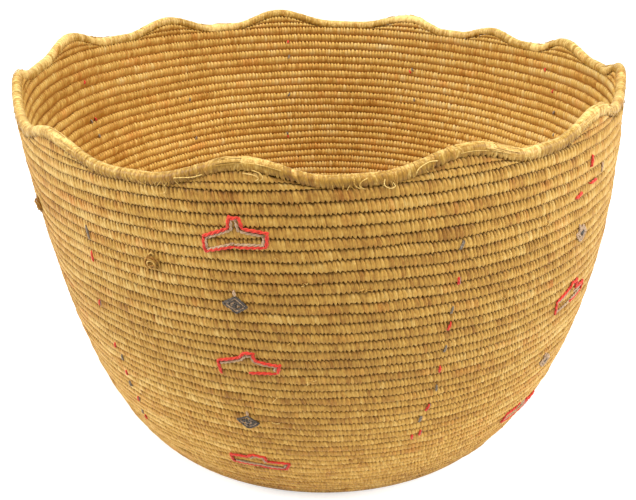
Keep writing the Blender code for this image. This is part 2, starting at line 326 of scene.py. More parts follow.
def sew_row(seed, upper, lower, side, start=0.0, end=turn, radius=None):
    """A grid of points and finish values for a row between two seams, given as functions of the angle."""
    profile, cuts = (outer_profile, outer_cuts) if side > 0 else (inner_profile, inner_cuts)
    closed = end - start > 0.99 * turn
    middle = upper(np.array([start + 0.1]))[0] if radius is None else None
    around = (radius or np.interp(middle, curve_run, curve_radius)) * (end - start)
    width = stitch_width if side > 0 else inner_stitch_width
    angle, across, stitch, count = lay_stitches(seed, around, cuts, start, end, width)
    random = np.random.default_rng([13, seed, side + 1])
    tips = random.normal(1.0, 0.34, count)[stitch] * tip_length
    depths = random.normal(1.0, 0.20, count)[stitch]
    leans = random.normal(1.0, 0.4, count)[stitch] * slant * stitch_width
    lifts = random.normal(0.0, stitch_lift, count)[stitch]
    tones = blade_tones(seed, count)[stitch]
    top, bottom = upper(angle), lower(angle)
    tall = bottom - top
    fullness = np.clip(tall / full_height, 0, 1)
    proud = waver(300 + seed % 97, 6, 40, row_waver, angle) + lifts
    tooth = bump(across - 0.15 * (1 - 4 * across ** 2), 1.4) - 0.45
    rubbed, away, to_left, to_right = wear(angle, side)
    evened = np.maximum(rubbed, 0)
    tones = 0.5 + (tones - 0.5) * (1 - front_calm * evened)
    # in front the tones are painted darker as shade
    tones = tones + waver(500 + seed, 1, 7, tone_waver, angle) - front_shade * evened
    # painted shade on the inside's left
    if side < 0:
        tones = tones - lining_shade * np.exp(-((angle - lining_shade_middle) ** 2) / lining_shade_spread)
    reds = blade_reds(seed, count)[stitch] + waver(560 + seed, 1, 5, red_waver, angle) - front_plain * evened
    points, light, pale = [], [], []
    for place, out, relief, bluntness, tip, shine, dark in profile:
        # the shape: less relief in front and low down at the sides, and a fuller shoulder at the sides
        smooth = 1 - 0.7 * away * step_up(place, 0.2, 0.3)
        flat = rubbed * step_up(place, 0.1, 0.2)
        deep = np.minimum(1 - flat, 1 - 0.25 * away) * smooth
        raised = relief * mm * (bump(across, bluntness) - 0.75) * depths * deep
        shoulder = 0.9 * (1 - place / 0.4) if 0 < place < 0.4 else 0.0
        offset = (out + shoulder * away) * mm * (0.45 + 0.55 * fullness)
        offset = offset + (raised + proud) * fullness
        run = top + place * tall + tip * tips * tooth * fullness * (1 - 0.5 * away)
        leaning = place - 0.5 if side < 0 else -1.3 * (1 - 1.4 * to_left) * (1 - place) ** 2
        points.append(on_wall(run, angle + leans * leaning / mean_radius, offset * side))
        # the finish is painted shade: in the gaps, on the left also on one flank, and less of it at the sides
        painted_light = shine + 0.7 * away * (1 - shine)
        gap = 1 - bump(across, bluntness) + to_left * np.clip((across - 0.16) / 0.22, 0, 1) * 0.4
        gap_shade = np.minimum(dark * (1 - flat) * (1 - 0.4 * to_right), 1.0) * smooth
        light.append(painted_light * (1 - gap_shade * np.minimum(gap, 1.0)))
        # a painted sheen on the lower half at the sides, and a painted highlight on the heads on the left
        low_half = step_up(place, 0.35, 0.35)
        head_highlight = (to_left - 0.2 * to_right) * (1 - low_half) * (bump(across, 2.0) - 0.62)
        pale.append((away - 0.6 * to_right) * (0.15 * low_half - 0.03) + 0.6 * head_highlight)
    pale = np.array(pale)
    down = [top + place * tall for place in profile[:, 0]]
    # the painted sheen and highlight also take red out of the colour
    reds = reds + 0.3 * to_left - 2.0 * pale
    return make_grid(points, light, tones + pale, angle * mean_radius, down, reds, closed, side < 0)


# %% Turn grids into a piece
def add_object(name, data):
    """An object of the scene."""
    made = bpy.data.objects.new(name, data)
    bpy.context.scene.collection.objects.link(made)
    return made


def make_piece(name, grids, material, nodes=()):
    """One mesh of several grids. Each vertex keeps its stitch's tone, its light and its place in the row."""
    corners, quads, start = [], [], 0
    for grid in grids:
        rows, columns = grid["points"].shape[:2]
        index = start + np.arange(rows * columns).reshape(rows, columns)
        right = np.roll(index, -1, axis=1) if grid["closed"] else index[:, 1:]
        left = index if grid["closed"] else index[:, :-1]
        faces = np.stack([left[:-1], left[1:], right[1:], right[:-1]], axis=-1).reshape(-1, 4)
        quads.append(faces[:, ::-1] if grid["inside"] else faces)
        corners.append(grid["points"].reshape(-1, 3))
        start += rows * columns
    corners, quads = np.concatenate(corners), np.concatenate(quads)
    mesh = bpy.data.meshes.new(name)
    mesh.vertices.add(len(corners))
    mesh.vertices.foreach_set("co", corners.astype(np.float32).ravel())
    mesh.loops.add(quads.size)
    mesh.loops.foreach_set("vertex_index", quads.astype(np.int32).ravel())
    mesh.polygons.add(len(quads))
    mesh.polygons.foreach_set("loop_start", np.arange(0, quads.size, 4, dtype=np.int32))
    mesh.update(calc_edges=True)
    mesh.shade_smooth()
    for value in ("tone", "light", "red"):
        layer = mesh.attributes.new(value, "FLOAT", "POINT")
        numbers = np.concatenate([grid[value].ravel() for grid in grids])
        layer.data.foreach_set("value", numbers.astype(np.float32))
    layer = mesh.attributes.new("lay", "FLOAT_VECTOR", "POINT")
    lay = [np.stack([grid[value].ravel() for value in ("along", "down", "tone")], axis=-1) for grid in grids]
    layer.data.foreach_set("vector", np.concatenate(lay).astype(np.float32).ravel())
    mesh.materials.append(material)
    piece = add_object(name, mesh)
    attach(piece, "root")
    if nodes:
        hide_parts(*nodes)
    return piece


# %% [markdown]
# ## Dry grass
# Grass has no single colour. Each blade has its own tone, the whole wall has slow darker and redder patches,
# and thin fibres run along every stitch. The material adds these three up and reads a ramp of straw colours
# with the sum. The value called light is painted shade: it darkens what lies deep between stitches.

# %% Small helpers for materials
def new_material(name):
    """A material, its tree of nodes and its shader."""
    material = bpy.data.materials.new(name)
    material.use_nodes = True
    return material, material.node_tree, material.node_tree.nodes["Principled BSDF"]


def node(tree, kind, inputs=(), **settings):
    """Adds a node, sets its own values and then its sockets, which take a number or another node's output."""
    made = tree.nodes.new(kind)
    for key, value in settings.items():
        setattr(made, key, value)
    for key, value in dict(inputs).items():
        if isinstance(value, bpy.types.NodeSocket):
            tree.links.new(value, made.inputs[key])
        else:
            made.inputs[key].default_value = value
    return made


def maths(tree, operation, first, second=0.0, third=0.0):
    """A sum worked out by the material."""
    return node(tree, "ShaderNodeMath", {0: first, 1: second, 2: third}, operation=operation).outputs[0]


def colour_ramp(tree, factor, stops):
    """A colour read from a ramp, whose stops are places with their colours."""
    ramp = node(tree, "ShaderNodeValToRGB", {"Fac": factor})
    elements = ramp.color_ramp.elements
    while len(elements) < len(stops):
        elements.new(0.5)
    for element, (place, colour) in zip(elements, stops):
        element.position = place
        element.color = (*colour, 1.0)
    return ramp.outputs["Color"]


# %% The grass material
fibre_scale = (1500.0, 130.0, 14.0)
straw_red = (0.98, 0.66, 0.50, 1.0)


def noise(tree, place, scale, detail, **more):
    """Smooth noise round 0.5, finer with a greater scale."""
    sockets = {"Vector": place, "Scale": scale, "Detail": detail, **more}
    return node(tree, "ShaderNodeTexNoise", sockets).outputs["Fac"]


def attribute(tree, name, output="Fac"):
    """A finish value that the mesh keeps for each vertex."""
    return node(tree, "ShaderNodeAttribute", attribute_name=name).outputs[output]


def make_grass(name, pale, plain, dark, shade_colour, roughness, upper_shade=0.0, shade_starts=0.03, shade_full=0.13):
    """Straw from dark to pale, reddened in patches, striped along the stitches, painted darker in its gaps as
    shade and painted darker towards the top as shade.
    """
    material, tree, shader = new_material(name)
    spot = node(tree, "ShaderNodeTexCoord").outputs["Object"]
    # slow patches, long fibres and a fine mottle are added to each stitch's own tone
    lay = attribute(tree, "lay", "Vector")
    stretched = node(tree, "ShaderNodeVectorMath", {0: lay, 1: fibre_scale}, operation="MULTIPLY").outputs[0]
    fibres = noise(tree, stretched, 1.0, 3.0, Roughness=0.6)
    patches = noise(tree, spot, 15.0, 5.0, Roughness=0.62)
    total = maths(tree, "MULTIPLY_ADD", patches, 0.40, attribute(tree, "tone"))
    total = maths(tree, "MULTIPLY_ADD", fibres, 1.00, total)
    total = maths(tree, "MULTIPLY_ADD", noise(tree, spot, 420.0, 2.0), 0.50, total)
    total = maths(tree, "SUBTRACT", total, 0.95)
    dry = colour_ramp(tree, total, [(0.08, dark), (0.50, plain), (0.95, pale)])
    # redder blades and redder patches
    moved = node(tree, "ShaderNodeVectorMath", {0: stretched, 1: (3.7, 1.3, 5.1)}, operation="ADD").outputs[0]
    stains = noise(tree, spot, 29.0, 6.0, Roughness=0.7)
    redness = maths(tree, "MULTIPLY_ADD", stains, 0.9, attribute(tree, "red"))
    redness = maths(tree, "MULTIPLY_ADD", noise(tree, moved, 0.8, 2.0), 1.1, redness)
    redder = node(tree, "ShaderNodeMapRange", {0: redness, 1: 1.0, 2: 2.2, 3: 0.0, 4: 1.0}).outputs[0]
    tint = {0: redder, 6: dry, 7: straw_red}
    stained = node(tree, "ShaderNodeMix", tint, data_type="RGBA", blend_type="MULTIPLY").outputs[2]
    # painted shade: darker upwards between two heights, and darkest deep between the stitches
    height = node(tree, "ShaderNodeSeparateXYZ", {0: spot}).outputs["Z"]
    upper_shading = {0: height, 1: shade_starts, 2: shade_full, 3: 0.0, 4: upper_shade}
    kept = maths(tree, "SUBTRACT", 1.0, node(tree, "ShaderNodeMapRange", upper_shading).outputs[0])
    shaded = node(tree, "ShaderNodeHueSaturation", {"Color": stained, "Value": kept}).outputs[0]
    shown = maths(tree, "POWER", attribute(tree, "light"), 0.8)
    depths = {0: shown, 6: (*shade_colour, 1.0), 7: shaded}
    mixed = node(tree, "ShaderNodeMix", depths, data_type="RGBA").outputs[2]
    bumps = node(tree, "ShaderNodeBump", {"Height": fibres, "Strength": 0.6, "Distance": 0.00015})
    rough = maths(tree, "MULTIPLY_ADD", fibres, 0.25, roughness - 0.12)
    tree.links.new(mixed, shader.inputs["Base Color"])
    tree.links.new(bumps.outputs["Normal"], shader.inputs["Normal"])
    tree.links.new(rough, shader.inputs["Roughness"])
    shader.inputs["Specular IOR Level"].default_value = 0.22
    return material


# %% Four kinds of grass
# each grass gets a colour of painted shade for its gaps, and the wall and the inside are also painted darker
# towards the top, as shade
pale_straw = (0.840, 0.590, 0.210)
plain_straw = (0.585, 0.325, 0.059)
dark_straw = (0.295, 0.124, 0.014)
wall_grass = make_grass(
    "wall_grass",
    pale=pale_straw,
    plain=plain_straw,
    dark=dark_straw,
    shade_colour=(0.036, 0.012, 0.002),
    roughness=0.60,
    upper_shade=0.22,
)
inner_grass = make_grass(
    "inner_grass",
    pale=(0.96, 0.77, 0.340),
    plain=(0.86, 0.55, 0.130),
    dark=(0.42, 0.190, 0.018),
    shade_colour=(0.28, 0.100, 0.008),
    roughness=0.60,
    upper_shade=0.30,
    shade_starts=0.05,
    shade_full=0.21,
)
rim_grass = make_grass(
    "rim_grass",
    pale=(0.76, 0.545, 0.190),
    plain=(0.345, 0.188, 0.026),
    dark=(0.16, 0.069, 0.007),
    shade_colour=(0.05, 0.018, 0.003),
    roughness=0.48,
)
base_grass = make_grass(
    "base_grass",
    pale=pale_straw,
    plain=(0.60, 0.35, 0.09),
    dark=dark_straw,
    shade_colour=(0.14, 0.056, 0.009),
    roughness=0.64,
)
print("grass materials", [m.name for m in (wall_grass, inner_grass, rim_grass, base_grass)])

# %% [markdown]
# ## The wall
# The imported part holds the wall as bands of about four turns. Each band gets one piece for its outside and
# one for its inside, because the two faces of a coil are sewn differently. One stitch could be modelled and
# copied by modifiers, but then all of them would be alike, so numpy computes every stitch by itself.

# %% Sew the wall
bands = math.ceil(courses / turns_per_band)
for band in range(bands):
    first = round(courses * band / bands)
    last = round(courses * (band + 1) / bands)
    outside, inside = [], []
    for course in range(first, last):
        above, below = partial(seam_run, course), partial(seam_run, course + 1)
        outside.append(sew_row(course, above, below, 1))
        inside.append(sew_row(course, above, below, -1))
    node_name = f"wall_turns_{band + 1:02d}"
    piece = make_piece(f"band_{band + 1:02d}_outside", outside, wall_grass, [node_name])
    lining = make_piece(f"band_{band + 1:02d}_inside", inside, inner_grass, [node_name])
    print(piece.name, len(piece.data.polygons), "faces outside,", len(lining.data.polygons), "inside")

# %% [markdown]
# ## Short rows under the scallops
# To raise a scallop the maker turns back and adds short rows: a long one, and a shorter one over its middle.
# Each thins out to nothing at its ends. The rows of the wall could be bent upwards instead, but in the
# photograph they run on level below the scallops, so short rows fill the room between them and the rim.

# %% The rim's wave
ring = np.concatenate([[scallop_angles[-1] - turn], scallop_angles, [scallop_angles[0] + turn]])
scallop_tops = scallop_height * (ring[2:] - ring[:-2]) / (2 * turn / len(scallop_angles))


def wave(angle):
    """Height of the rim's wave over the wall's top."""
    height = np.zeros_like(angle)
    for number in range(len(scallop_angles)):
        past = angle_past(angle, ring[number + 1])
        spacing = np.where(past > 0, ring[number + 2] - ring[number + 1], ring[number + 1] - ring[number])
        near = np.clip(np.abs(past) / spacing / scallop_foot, 0, 1)
        height = np.maximum(height, scallop_tops[number] * (1 + np.cos(math.pi * near)) / 2)
    return height


full_row = 0.0044


def long_row(angle):
    """Height of the lower short row, which keeps its full size over most of the scallop."""
    lift = wave(angle)
    grown = full_row * (1 - np.exp(-lift / full_row * 1.1)) / (1 - np.exp(-2.2))
    return grown * np.clip(lift / 0.0005, 0, 1) * 0.97


# %% Sew the short rows
longer_share, shorter_share = 0.93, 0.74


def long_edge(angle):
    """Run of the seam between the two short rows."""
    return -long_row(angle)


def rim_edge(angle):
    """Run of the seam between the shorter row and the rim coil."""
    return -wave(angle)


for number, angle in enumerate(scallop_angles):
    reach_before = (ring[number + 1] - ring[number]) * scallop_foot
    reach_after = (ring[number + 2] - ring[number + 1]) * scallop_foot
    for side, place, grass in ((1, "outside", wall_grass), (-1, "inside", inner_grass)):
        seed = 50 + 2 * number
        begin, stop = angle - reach_before * longer_share, angle + reach_after * longer_share
        longer = sew_row(seed, long_edge, partial(seam_run, 0), side, begin, stop, rim_radius)
        begin, stop = angle - reach_before * shorter_share, angle + reach_after * shorter_share
        shorter = sew_row(seed + 1, rim_edge, long_edge, side, begin, stop, rim_radius)
        name = f"short_rows_{number + 1:02d}_{place}"
        make_piece(name, [longer, shorter], grass, [f"scallop_rows_{number + 1:02d}"])
print("scallop heights in mm", np.round(scallop_tops / mm, 1))

# %% [markdown]
# ## The rim coil
# The last coil rides over the scallops and closes the wall. Its wraps go right round, so its section is a
# loop: down the outside to round tips like those of the wall, and over the top to the inside. On a new basket
# all wraps would be whole. Here some are worn through, so the relief of the wraps gives way to that of the
# bare straws at those places.

# %% The rim coil's section and its worn places
# outwards and up from the coil's middle in mm, relief in mm, part of the tip, light, paler by;
# light is painted shade underneath, and paler by is a painted highlight along the crest
rim_section = np.array([
    (0.90, -3.20, 0.00, 1.00, 0.03, -0.06),
    (2.30, -3.05, 0.10, 1.10, 0.70, -0.05),
    (2.75, -2.20, 0.18, 0.80, 0.98, -0.03),
    (3.02, -0.80, 0.20, 0.20, 1.00, 0.00),
    (2.90, 0.90, 0.18, 0.00, 1.00, 0.03),
    (2.15, 2.15, 0.13, 0.00, 1.00, 0.09),
    (1.10, 2.85, 0.09, 0.00, 1.00, 0.18),
    (0.00, 3.05, 0.08, 0.00, 1.00, 0.26),
    (-1.10, 2.85, 0.10, 0.00, 1.00, 0.24),
    (-2.15, 2.15, 0.14, 0.00, 1.00, 0.16),
    (-2.90, 0.90, 0.18, 0.00, 1.00, 0.12),
    (-3.00, -0.60, 0.20, -0.20, 0.98, 0.10),
    (-2.75, -1.90, 0.20, -0.60, 0.94, 0.08),
    (-2.20, -2.80, 0.14, -0.90, 0.84, 0.06),
    (-1.30, -3.20, 0.00, -0.90, 0.60, 0.04),
])
# places where the wraps are worn through to the bundle: middle and half width in degrees
worn_degrees = [(-38, 7), (-63, 7), (-100, 4), (-134, 3), (-3, 3)]
worn_degrees += [(28, 3), (67, 5), (118, 4), (152, 3), (187, 3)]
worn_places = np.radians(worn_degrees)
print("worn places", len(worn_places), "with", sum(2 * half for _, half in worn_degrees), "degrees in all")


def worn(angle):
    """1 where the rim's wraps are worn away, 0 where they are whole."""
    total = np.zeros_like(angle)
    for middle, half in worn_places:
        past = np.abs(angle_past(angle, middle))
        total = np.maximum(total, np.clip(1.4 - past / half, 0, 1))
    return total


# %% Wrap the rim coil
rim_foot = math.radians(60)
line_spacing = 0.0014


def rim_middle(angle):
    """Height of the rim coil's middle over the wall's top. It rests on its open foot."""
    return wave(angle) + seam_gap + rim_coil_thickness / 2 * math.sin(rim_foot)


def wrap_rim():
    """The wraps of the rim coil, and the bare straws where they are worn away."""
    cuts = np.array([-0.5, -0.36, -0.1, 0.18, 0.38])
    angle, across, stitch, count = lay_stitches(77, turn * rim_radius, cuts)
    random = np.random.default_rng(78)
    tips = random.normal(0.9, 0.5, count)[stitch] * tip_length
    depths = random.normal(1.0, 0.45, count)[stitch]
    leans = (random.normal(0.6, 0.7, count) * 0.0006)[stitch]
    bare = worn(angle)
    # the rim's front is painted darker as shade
    rim_front_shade = np.exp(-angle_past(angle, front) ** 2 / front_spread)
    tones = 0.5 + 0.9 * (blade_tones(79, count)[stitch] - 0.5) + 0.17 * bare - 0.17 * rim_front_shade
    size = 1 + waver(80, 5, 60, 0.022, angle)
    points, light = [], []
    for line, (out, up, relief, tip, shine, _) in enumerate(rim_section):
        length = math.hypot(out, up)
        straws = 0.22 * math.cos(2.6 * line) * waver(600 + line, 8, 30, 0.8, angle)
        raised = relief * (bump(across, 2.8) - 0.6) * depths * (1 - bare) + straws * bare
        across_out = (out * size + out / length * raised) * mm
        across_up = (up * size + up / length * raised) * mm - tip * tips * (bump(across, 1.6) - 0.5)
        lean = leans * -up / 3.0 / rim_radius
        points.append(on_wall(-rim_middle(angle) - across_up, angle + lean, across_out))
        # painted shade between the wraps and underneath
        light.append(shine * (1 - 0.36 * (1 - bump(across, 2.4)) * (1 - bare)))
    # a painted highlight along the crest
    tones = tones[None, :] + rim_section[::-1, 5:6]
    reds = blade_reds(79, count)[stitch] * (1 - bare)
    down = np.arange(len(rim_section))[:, None] * line_spacing
    return make_grid(points[::-1], light[::-1], tones, angle * mean_radius, down, reds)


rim = make_piece("rim_wraps", [wrap_rim()], rim_grass, ["rim_coil"])
print("rim coil", len(rim.data.polygons), "faces")

# %% [markdown]
# ## The base
# The base starts at a knot and spirals out to the heel, where the coil turns up into the wall. The spiral is
# cut off at the knot's edge on one end and at the heel on the other, so the coil thins out there as a real
# one does. Its top shows stitches like the inside of the wall, and its underside is rubbed flat.

# %% Sew the base
base_edge = base_radius - coil_radius
# share of the turn's width, drop in mm, light, which is painted shade at the turn's edges
base_profile = [
    (0.00, 1.5, 0.0),
    (0.14, 0.5, 0.6),
    (0.36, 0.1, 1.0),
    (0.64, 0.0, 1.0),
    (0.86, 0.4, 0.8),
    (1.00, 1.5, 0.0),
]


def spiral_edge(count, angle):
    """Radius of the spiral seam after so many turns."""
    return np.clip(knot_radius + course_at_base * (count + angle / turn), knot_radius, base_edge)


def sew_base_turn(count, upward):
    """One turn of the base, its top or its flatter underside, between two edges of the spiral."""
    radius = knot_radius + course_at_base * (count + 1)
    cuts = np.array([-0.5, -0.2, 0.2])
    angle, across, stitch, stitches = lay_stitches(400 + count, turn * radius, cuts)
    near, far = spiral_edge(count, angle), spiral_edge(count + 1, angle)
    tones = blade_tones(400 + count, stitches)[stitch]
    points, light = [], []
    for place, drop, shine in base_profile:
        depth = (drop + 0.25 * (1 - bump(across, 2.0)) * shine) * mm
        height = base_thickness - depth if upward else depth * 0.7
        points.append(settle(angle, near + (far - near) * place, height))
        # painted shade between the stitches and at the turn's edges
        light.append(shine * (0.6 + 0.4 * bump(across, 2.0)))
    down = [near + (far - near) * place for place, _, _ in base_profile]
    return make_grid(points, light, tones, angle * radius, down, closed=False, inside=upward)


base_turns = math.ceil((base_edge - knot_radius) / course_at_base)
middle_turn, border_turn = base_turns // 2, 3 * base_turns // 4
base_parts = [
    ("base_inner", range(-1, middle_turn), "base_turns_inner"),
    ("base_outer", range(middle_turn, border_turn), "base_turns_outer"),
    ("base_border", range(border_turn, base_turns), "base_turns_outer"),
]
for name, counts, node_name in base_parts:
    grids = [sew_base_turn(count, upward) for count in counts for upward in (True, False)]
    piece = make_piece(name, grids, base_grass, [node_name])
    print(piece.name, len(piece.data.polygons), "faces")

# %% The knot and the heel turn
def turned_grid(seed, radii, heights, stitches, relief, inside=False):
    """A turned section with stitches round it, for the heel turn and the knot."""
    cuts = np.array([-0.5, -0.25, 0.0, 0.25])
    angle, across, stitch, count = lay_stitches(seed, stitches * stitch_width, cuts)
    tones = blade_tones(seed, count)[stitch]
    points = []
    for radius, height, amount in zip(radii, heights, relief):
        raised = amount * mm * (bump(across, 2.2) - 0.6)
        points.append(settle(angle, radius + raised * 0.7, height + raised * 0.7))
    # painted shade between the stitches
    light = 0.45 + 0.55 * bump(across, 2.2)
    down = np.arange(len(radii))[:, None] * mm
    return make_grid(points, light, tones, angle * base_radius, down, inside=inside)


# the section starts and ends on a thin ridge, which goes up between the outside and the inside of the wall
section = np.radians([52, 44, 20, -12, -48, -90, -132, -170, -210, -240, -270, -300, -308])
heel_reach = coil_radius * np.array([1.55, 1, 1, 1, 1, 1, 1, 1, 1, 1, 1, 1, 1.55])
heel_out = base_radius + heel_reach * np.cos(section)
heel_up = np.clip(heel_height + heel_reach * np.sin(section), 0.0, None)
heel_relief = [0.0, 0.2, 0.3, 0.3, 0.2, 0.0, 0.1, 0.2, 0.2, 0.2, 0.2, 0.1, 0.0]
heel = turned_grid(501, heel_out, heel_up, turn * base_radius / stitch_width, heel_relief)
make_piece("heel_stitches", [heel], base_grass, ["heel_turn"])
dome = np.array([0.0, 0.15, 0.35, 0.6, 0.8, 0.95, 1.0])
dome_up = base_thickness + 0.0008 * (1 - dome ** 2) - 0.0012 * dome ** 6
knot_stitches = 18
knot_top = turned_grid(502, dome * knot_radius, dome_up, knot_stitches, dome * 0.5, True)
knot_low = turned_grid(503, dome * knot_radius, 0.0004 * dome ** 4, knot_stitches, dome * 0.1)
make_piece("knot_stitches", [knot_top, knot_low], base_grass, ["start_knot"])

# %% [markdown]
# ## Yarn
# The figures are sewn with two-ply wool yarn in long straight stitches that lie over the rows. A strand here
# is two thin tubes wound round each other along the stitch, a little flattened against the wall. One tube
# with a bump pattern would look like wire from close by, and two of them cost few faces at this size.

# %% Yarn materials
def make_yarn(name, light_colour, dark_colour):
    """Wool, blotched from a light to a dark colour, with a hairy surface and a soft sheen."""
    material, tree, shader = new_material(name)
    spot = node(tree, "ShaderNodeTexCoord").outputs["Object"]
    blotches = noise(tree, spot, 420.0, 3.0, Roughness=0.7)
    hairs = noise(tree, spot, 2600.0, 2.0)
    colour = colour_ramp(tree, blotches, [(0.30, dark_colour), (0.68, light_colour)])
    bumps = node(tree, "ShaderNodeBump", {"Height": hairs, "Strength": 0.7, "Distance": 0.0002})
    tree.links.new(colour, shader.inputs["Base Color"])
    tree.links.new(bumps.outputs["Normal"], shader.inputs["Normal"])
    shader.inputs["Roughness"].default_value = 0.9
    shader.inputs["Specular IOR Level"].default_value = 0.15
    shader.inputs["Sheen Weight"].default_value = 0.25
    return material


red_wool = make_yarn("red_wool", (0.690, 0.052, 0.022), (0.430, 0.020, 0.010))
tan_wool = make_yarn("tan_wool", (0.500, 0.340, 0.200), (0.270, 0.165, 0.090))
grey_wool = make_yarn("grey_wool", (0.280, 0.215, 0.150), (0.090, 0.066, 0.044))
dark_wool = make_yarn("dark_wool", (0.105, 0.082, 0.060), (0.026, 0.019, 0.014))
print("yarn materials", [m.name for m in (red_wool, tan_wool, grey_wool, dark_wool)])


# %% Tubes and strands
def unit(vectors):
    """The same directions, each with a length of 1."""
    return vectors / np.linalg.norm(vectors, axis=1)[:, None]


def tube(centres, outward, radius, sides=6, tone=0.5):
    """A tube along a line of points, closed to a point at both ends."""
    forward = unit(np.gradient(centres, axis=0))
    aside = unit(np.cross(forward, outward))
    square = np.cross(aside, forward)
    around = turn * np.arange(sides) / sides
    spokes = np.cos(around)[None, :, None] * aside[:, None] + np.sin(around)[None, :, None] * square[:, None]
    thick = np.broadcast_to(radius, len(centres)).copy()
    thick[[0, -1]] *= 0.1
    points = centres[:, None] + thick[:, None, None] * spokes
    along = np.arange(len(centres))[:, None] * 0.0008
    return make_grid(points, 1.0, tone, along, around * 0.0004)


def wall_stitch(seed, runs, angles, ply, side=1):
    """A stitch of two-ply yarn over the rows, between two places on the wall. It dives in at its ends."""
    random = np.random.default_rng([15, seed])
    ends = on_wall(np.array(runs), np.array(angles), coil_radius * side)
    length = np.linalg.norm(ends[1] - ends[0])
    count = max(7, int(length / 0.0004))
    share = np.linspace(0, 1, count)
    bow = np.sin(math.pi * share) * random.normal(0, 0.00025)
    run = runs[0] + (runs[1] - runs[0]) * share + bow
    angle = angles[0] + (angles[1] - angles[0]) * share
    dive = 0.0016 * np.clip(1 - np.minimum(share, 1 - share) * length / 0.0010, 0, 1) ** 2
    lift = (coil_radius + 0.9 * ply - dive) * side
    middle = on_wall(run, angle, lift)
    outward = (on_wall(run, angle, lift + mm) - middle) * 1000
    aside = np.cross(unit(np.gradient(middle, axis=0)), outward)
    twist = turn * share * length / (ply * 12) + random.uniform(0, turn)
    grids = []
    thickness = ply * (0.75 + 0.4 * np.sin(math.pi * share))
    for half_turn in (0.0, math.pi):
        sideways, outwards = np.cos(twist + half_turn)[:, None], np.sin(twist + half_turn)[:, None]
        wound = sideways * aside + 0.5 * outwards * outward
        grids.append(tube(middle + wound * ply * 0.85, outward, thickness))
    return grids


# %% [markdown]
# ## Hats, diamonds and dashes
# Each hat is an outline of red stitches with a thinner outline of tan ones just inside it. No two of them
# came out alike, so each of the three down a column has its own corners. A diamond is a nest of five rings of
# dark and tan yarn. Some stitches have worn away, and a few figures sit beside their column's line. Painting
# the figures on the grass would be simpler, but yarn lies on the rows and catches the light on its own.

# %% Corners of the figures
# corners of the three hats of a column: across and up in mm from the figure's middle, clockwise from low left
hat_corners = [
    [(-17, -12.5), (-17, -1.5), (-2.5, 4), (-1.5, 10.5), (5.5, 10.5), (6.5, 4), (19.5, 1.5), (17.5, -8)],
    [(-16, -11), (-18, 0.5), (-4, 5), (-1, 8.5), (6, 8.5), (7, 3.5), (20.5, 1.5), (18, -6)],
    [(-16.5, -6.5), (-18, 3), (-5.5, 4.5), (-2.5, 7.5), (7, 7.5), (7.5, 2.5), (22, 3), (19.5, -6.5)],
]
hat_notches = (1.8, 0.6, 0.3)
hat_rows = (3.6, 16.8, 33.2)
red_inset, tan_inset = 1.0, 2.6
diamond_corners = [(-7.5, 1.0), (0.5, 5.5), (7.0, -1.0), (0.0, -6.0)]
diamond_rows = (10.2, 25.3)
ring_insets = (0.4, 1.25, 2.10, 2.95, 3.70)
thin_rings = (1, 3)
# columns lean a little from scallop to heel, and some hang a part of a row higher or lower
column_lead, column_drift, diamond_lead = math.radians(-2), math.radians(-0.06), -0.012
column_drops = (0.0, -1.1, -0.5, 0.4, -0.6, 0.0)
red_ply, tan_ply, grey_ply, thin_ring_ply, ring_ply = 0.00056, 0.00046, 0.00038, 0.00030, 0.00040
print("kinds of hat", len(hat_corners), "with", [len(corners) for corners in hat_corners], "corners")


# %% Outlines of stitches
def drawn_in(corners, by):
    """The closed outline moved in by some mm, corner by corner."""
    corners = np.array(corners)
    into = unit(corners - np.roll(corners, 1, axis=0))
    away = np.roll(into, -1, axis=0)
    first = np.stack([into[:, 1], -into[:, 0]], axis=1)
    second = np.stack([away[:, 1], -away[:, 0]], axis=1)
    return corners + by * (first + second) / (1 + (first * second).sum(axis=1))[:, None]


def row_run(row):
    """Run of a row counted down from the wall's top, also between two rows."""
    return np.interp(row, np.arange(courses + 1), seams)


def place_figure(column, row, corners):
    """Runs and angles of points given in mm from a figure's middle."""
    corners = np.array(corners) * mm
    run = row_run(row) - corners[:, 1]
    radius = np.interp(run, curve_run, curve_radius) + 0.003
    return run, column + corners[:, 0] / radius


def sew_outline(seed, column, row, corners, ply, notch_up=0.0, left_out=(), half_worn=()):
    """One stitch along each side of an outline, and two along its lowest side, with a notch between them."""
    random = np.random.default_rng([16, seed])
    corners = np.array(corners)
    notch = (corners[0] + corners[-1]) / 2 + (0.0, notch_up)
    chain = [*corners, notch, corners[0]]
    grids = []
    for number, (start, end) in enumerate(zip(chain[:-1], chain[1:])):
        along = (end - start) / np.linalg.norm(end - start)
        start = start + (end - start) * 0.6 if number in half_worn else start
        start = start - along * random.uniform(0.0, 0.9) + random.normal(0, 0.25, 2)
        end = end + along * random.uniform(0.0, 0.9) + random.normal(0, 0.25, 2)
        if number not in left_out:
            runs, angles = place_figure(column, row, [start, end])
            grids += wall_stitch(seed * 20 + number, runs, angles, ply)
    return grids


# %% What is worn away or out of line
# by column and level, the numbers of the sides of a hat that are worn away, of the red yarn and of the tan
worn_red = {
    (0, 1): (8,),
    (1, 0): (0, 1, 3, 4, 5, 6),
    (1, 1): (8,),
    (1, 2): (3,),
    (3, 1): (5,),
    (4, 0): (0, 8),
    (5, 2): (2, 7),
}
worn_tan = {
    (0, 1): (0, 7, 8),
    (0, 2): (0, 1, 5),
    (1, 0): (0, 1, 2, 3, 4, 5, 7, 8),
    (1, 1): (0, 2, 3, 4, 6),
    (2, 2): (1, 8),
    (4, 0): (0, 7),
}
half_worn_red = {(1, 0): (7, 8)}
# by column and level, how far a figure sits from its place, across and up in mm, and which rings are tan
hat_shifts = {(1, 0): (3.0, -3.5), (1, 1): (5.0, 2.5)}
diamond_shifts = {(1, 0): (4.5, 2.5), (1, 1): (5.0, 0.5)}
pale_rings = {(1, 0): (0, 1, 2), (1, 1): (0, 1, 2)}
print("hats with worn red stitches", len(worn_red), "and with worn tan ones", len(worn_tan))

